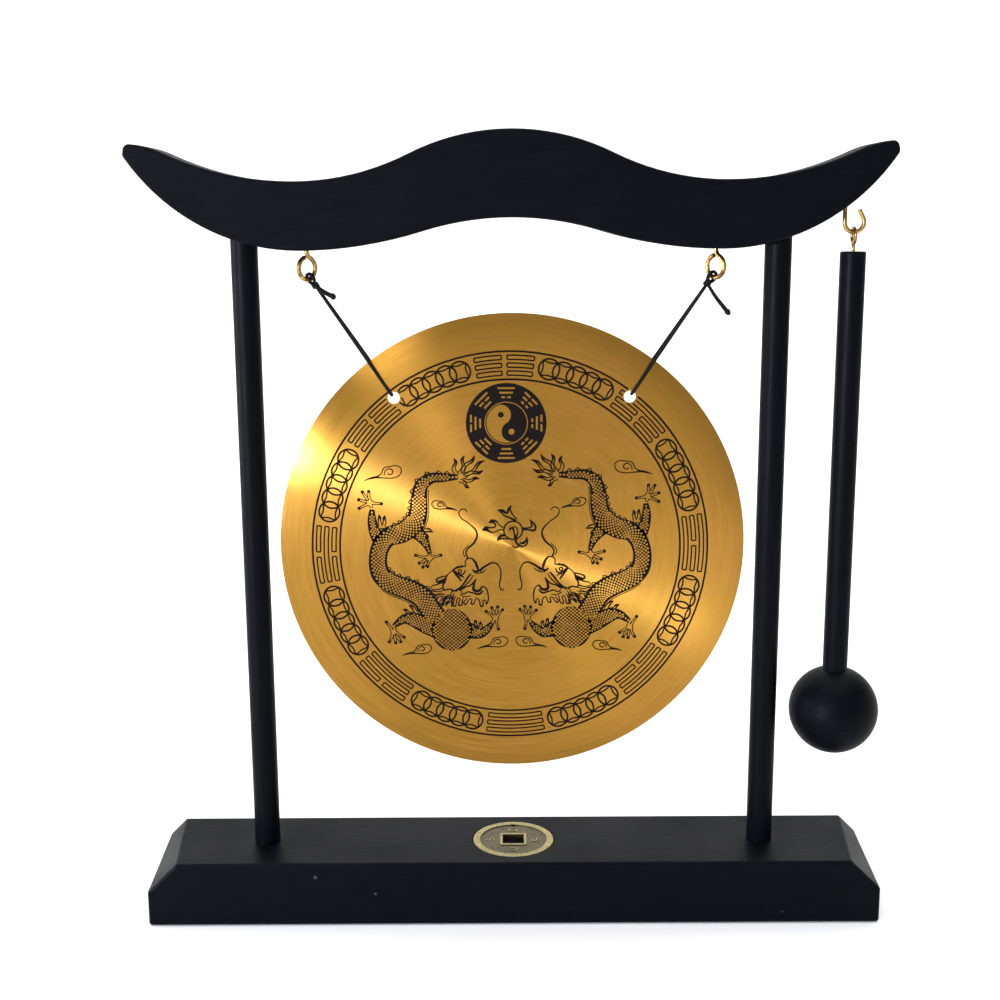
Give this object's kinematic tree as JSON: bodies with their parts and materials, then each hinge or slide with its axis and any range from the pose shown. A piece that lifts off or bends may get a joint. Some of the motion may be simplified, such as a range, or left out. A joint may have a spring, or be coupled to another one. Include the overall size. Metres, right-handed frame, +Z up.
{
  "type": "table gong on stand with mallet",
  "caption": "Small brass gong hung on cord loops from the curved beam of a black wooden table stand, with a ball-headed mallet on a side hook.",
  "frame": {"origin": "middle of the base's underside", "axes": "+Z up, -Y is the decorated front of the gong, +X is the mallet's side"},
  "size_m": [0.2408, 0.037, 0.2539],
  "materials": {
    "black_wood": "thin satin black paint over open grain, worn at the edges",
    "gong_brass": "circular-brushed brass with dark printed line art on the front",
    "hardware_brass": "bright brass-plated wire",
    "coin_bronze": "antiqued cast bronze, rubbed on the rims",
    "black_cord": "waxed black twisted cord, ends melted"
  },
  "bodies": {
    "stand": {"base_plinth": "black_wood", "inset_coin": "coin_bronze", "left_post": "black_wood", "right_post": "black_wood", "crossbeam": "black_wood", "left_eye_screw": "hardware_brass", "right_eye_screw": "hardware_brass", "cup_hook": "hardware_brass"},
    "suspension": {"left_cord": "black_cord", "right_cord": "black_cord", "left_cord_knot": "black_cord", "right_cord_knot": "black_cord"},
    "gong": {"gong_disc": "gong_brass"},
    "mallet": {"mallet_handle": "black_wood", "mallet_head": "black_wood", "mallet_eye_screw": "hardware_brass"}
  },
  "joints": [
    {"name": "gong_swing", "type": "hinge", "parent": "stand", "child": "suspension", "pos_m": [0, 0, 0.20927], "axis": [1, 0, 0], "range_deg": [-25, 25]},
    {"name": "gong_rock", "type": "hinge", "parent": "suspension", "child": "gong", "pos_m": [0, -0.00012, 0.17376], "axis": [1, 0, 0], "range_deg": [-4, 4]},
    {"name": "mallet_swing", "type": "hinge", "parent": "stand", "child": "mallet", "pos_m": [0.1063, 0, 0.22261], "axis": [1, 0, 0], "range_deg": [-70, 70]}
  ]
}
